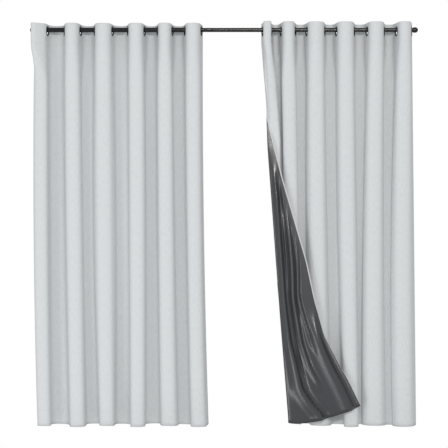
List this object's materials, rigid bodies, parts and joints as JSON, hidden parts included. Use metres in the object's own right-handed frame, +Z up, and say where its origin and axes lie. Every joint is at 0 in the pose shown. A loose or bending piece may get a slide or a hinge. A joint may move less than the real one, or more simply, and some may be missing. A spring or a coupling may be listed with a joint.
{
  "type": "eyelet curtains on a rod",
  "caption": "Lined eyelet curtain panels in deep folds on a telescoping rod with wall brackets; one leading corner is turned back to show the lining.",
  "frame": {"origin": "on the wall, midway between the two brackets, at the height of the rod's axis", "axes": "+Z up, +Y into the wall, +X along the rod to the right as seen from the room"},
  "size_m": [2.048, 0.1879, 2.1336],
  "materials": {
    "pale_grey_cloth": "matt woven polyester, pale warm grey",
    "dark_grey_lining": "coated blackout lining, dark grey with a soft sheen",
    "header_tape": "stiff white header tape",
    "black_grommet": "moulded black, semi-gloss",
    "black_tube": "gloss black enamel on steel tube",
    "black_cap": "gloss black moulded",
    "black_bracket": "satin black powder coat",
    "black_screw": "black oxide, knurled head"
  },
  "bodies": {
    "wall_set": {"left_bracket": "black_bracket", "right_bracket": "black_bracket", "rod_outer_tube": "black_tube", "left_end_cap": "black_cap", "left_face_cloth": "pale_grey_cloth", "left_lining": "dark_grey_lining", "left_header_tape": "header_tape", "right_face_cloth": "pale_grey_cloth", "right_lining": "dark_grey_lining", "right_header_tape": "header_tape", "left_grommet_01": "black_grommet", "right_grommet_12": "black_grommet"},
    "inner_tube": {"rod_inner_tube": "black_tube", "right_end_cap": "black_cap"},
    "left_lock_screw": {"left_lock_screw": "black_screw"},
    "right_lock_screw": {"right_lock_screw": "black_screw"},
    "left_grommet_02": {"left_grommet_02": "black_grommet"},
    "left_grommet_03": {"left_grommet_03": "black_grommet"},
    "left_grommet_04": {"left_grommet_04": "black_grommet"},
    "left_grommet_05": {"left_grommet_05": "black_grommet"},
    "left_grommet_06": {"left_grommet_06": "black_grommet"},
    "left_grommet_07": {"left_grommet_07": "black_grommet"},
    "left_grommet_08": {"left_grommet_08": "black_grommet"},
    "left_grommet_09": {"left_grommet_09": "black_grommet"},
    "left_grommet_10": {"left_grommet_10": "black_grommet"},
    "left_grommet_11": {"left_grommet_11": "black_grommet"},
    "left_grommet_12": {"left_grommet_12": "black_grommet"},
    "right_grommet_01": {"right_grommet_01": "black_grommet"},
    "right_grommet_02": {"right_grommet_02": "black_grommet"},
    "right_grommet_03": {"right_grommet_03": "black_grommet"},
    "right_grommet_04": {"right_grommet_04": "black_grommet"},
    "right_grommet_05": {"right_grommet_05": "black_grommet"},
    "right_grommet_06": {"right_grommet_06": "black_grommet"},
    "right_grommet_07": {"right_grommet_07": "black_grommet"},
    "right_grommet_08": {"right_grommet_08": "black_grommet"},
    "right_grommet_09": {"right_grommet_09": "black_grommet"},
    "right_grommet_10": {"right_grommet_10": "black_grommet"},
    "right_grommet_11": {"right_grommet_11": "black_grommet"}
  },
  "joints": [
    {"name": "left_draw", "type": "slide", "parent": "wall_set", "child": "left_grommet_12", "axis": [1, 0, 0], "range_m": [-0.434, 0], "deforming": ["left_face_cloth", "left_lining", "left_header_tape"]},
    {"name": "right_draw", "type": "slide", "parent": "wall_set", "child": "right_grommet_01", "axis": [1, 0, 0], "range_m": [0, 0.3915], "deforming": ["right_face_cloth", "right_lining", "right_header_tape"]},
    {"name": "left_draw_02", "type": "slide", "parent": "wall_set", "child": "left_grommet_02", "axis": [1, 0, 0], "range_m": [-0.0285, 0]},
    {"name": "left_draw_03", "type": "slide", "parent": "wall_set", "child": "left_grommet_03", "axis": [1, 0, 0], "range_m": [-0.0741, 0]},
    {"name": "left_draw_04", "type": "slide", "parent": "wall_set", "child": "left_grommet_04", "axis": [1, 0, 0], "range_m": [-0.1155, 0]},
    {"name": "left_draw_05", "type": "slide", "parent": "wall_set", "child": "left_grommet_05", "axis": [1, 0, 0], "range_m": [-0.1536, 0]},
    {"name": "left_draw_06", "type": "slide", "parent": "wall_set", "child": "left_grommet_06", "axis": [1, 0, 0], "range_m": [-0.1995, 0]},
    {"name": "left_draw_07", "type": "slide", "parent": "wall_set", "child": "left_grommet_07", "axis": [1, 0, 0], "range_m": [-0.2416, 0]},
    {"name": "left_draw_08", "type": "slide", "parent": "wall_set", "child": "left_grommet_08", "axis": [1, 0, 0], "range_m": [-0.2841, 0]},
    {"name": "left_draw_09", "type": "slide", "parent": "wall_set", "child": "left_grommet_09", "axis": [1, 0, 0], "range_m": [-0.3195, 0]},
    {"name": "left_draw_10", "type": "slide", "parent": "wall_set", "child": "left_grommet_10", "axis": [1, 0, 0], "range_m": [-0.3576, 0]},
    {"name": "left_draw_11", "type": "slide", "parent": "wall_set", "child": "left_grommet_11", "axis": [1, 0, 0], "range_m": [-0.3921, 0]},
    {"name": "right_draw_02", "type": "slide", "parent": "wall_set", "child": "right_grommet_02", "axis": [1, 0, 0], "range_m": [0, 0.3705]},
    {"name": "right_draw_03", "type": "slide", "parent": "wall_set", "child": "right_grommet_03", "axis": [1, 0, 0], "range_m": [0, 0.3436]},
    {"name": "right_draw_04", "type": "slide", "parent": "wall_set", "child": "right_grommet_04", "axis": [1, 0, 0], "range_m": [0, 0.307]},
    {"name": "right_draw_05", "type": "slide", "parent": "wall_set", "child": "right_grommet_05", "axis": [1, 0, 0], "range_m": [0, 0.2756]},
    {"name": "right_draw_06", "type": "slide", "parent": "wall_set", "child": "right_grommet_06", "axis": [1, 0, 0], "range_m": [0, 0.2296]},
    {"name": "right_draw_07", "type": "slide", "parent": "wall_set", "child": "right_grommet_07", "axis": [1, 0, 0], "range_m": [0, 0.1976]},
    {"name": "right_draw_08", "type": "slide", "parent": "wall_set", "child": "right_grommet_08", "axis": [1, 0, 0], "range_m": [0, 0.1515]},
    {"name": "right_draw_09", "type": "slide", "parent": "wall_set", "child": "right_grommet_09", "axis": [1, 0, 0], "range_m": [0, 0.1165]},
    {"name": "right_draw_10", "type": "slide", "parent": "wall_set", "child": "right_grommet_10", "axis": [1, 0, 0], "range_m": [0, 0.0725]},
    {"name": "right_draw_11", "type": "slide", "parent": "wall_set", "child": "right_grommet_11", "axis": [1, 0, 0], "range_m": [0, 0.0391]},
    {"name": "rod_extend", "type": "slide", "parent": "wall_set", "child": "inner_tube", "axis": [1, 0, 0], "range_m": [0, 0.3]},
    {"name": "left_lock_turn", "type": "hinge", "parent": "wall_set", "child": "left_lock_screw", "pos_m": [-0.974, -0.09, 0], "axis": [0, 0, -1], "range_deg": [0, 720]},
    {"name": "right_lock_turn", "type": "hinge", "parent": "wall_set", "child": "right_lock_screw", "pos_m": [0.974, -0.09, 0], "axis": [0, 0, -1], "range_deg": [0, 720]}
  ],
  "couplings": [
    {"joint": "left_draw_02", "follows": "left_draw", "ratio": 0.065668},
    {"joint": "left_draw_03", "follows": "left_draw", "ratio": 0.17051},
    {"joint": "left_draw_04", "follows": "left_draw", "ratio": 0.26613},
    {"joint": "left_draw_05", "follows": "left_draw", "ratio": 0.35369},
    {"joint": "left_draw_06", "follows": "left_draw", "ratio": 0.45968},
    {"joint": "left_draw_07", "follows": "left_draw", "ratio": 0.55645},
    {"joint": "left_draw_08", "follows": "left_draw", "ratio": 0.65438},
    {"joint": "left_draw_09", "follows": "left_draw", "ratio": 0.73618},
    {"joint": "left_draw_10", "follows": "left_draw", "ratio": 0.82373},
    {"joint": "left_draw_11", "follows": "left_draw", "ratio": 0.90323},
    {"joint": "right_draw_02", "follows": "right_draw", "ratio": 0.94636},
    {"joint": "right_draw_03", "follows": "right_draw", "ratio": 0.8774},
    {"joint": "right_draw_04", "follows": "right_draw", "ratio": 0.78416},
    {"joint": "right_draw_05", "follows": "right_draw", "ratio": 0.7037},
    {"joint": "right_draw_06", "follows": "right_draw", "ratio": 0.58621},
    {"joint": "right_draw_07", "follows": "right_draw", "ratio": 0.50447},
    {"joint": "right_draw_08", "follows": "right_draw", "ratio": 0.38697},
    {"joint": "right_draw_09", "follows": "right_draw", "ratio": 0.29757},
    {"joint": "right_draw_10", "follows": "right_draw", "ratio": 0.18518},
    {"joint": "right_draw_11", "follows": "right_draw", "ratio": 0.099617}
  ]
}
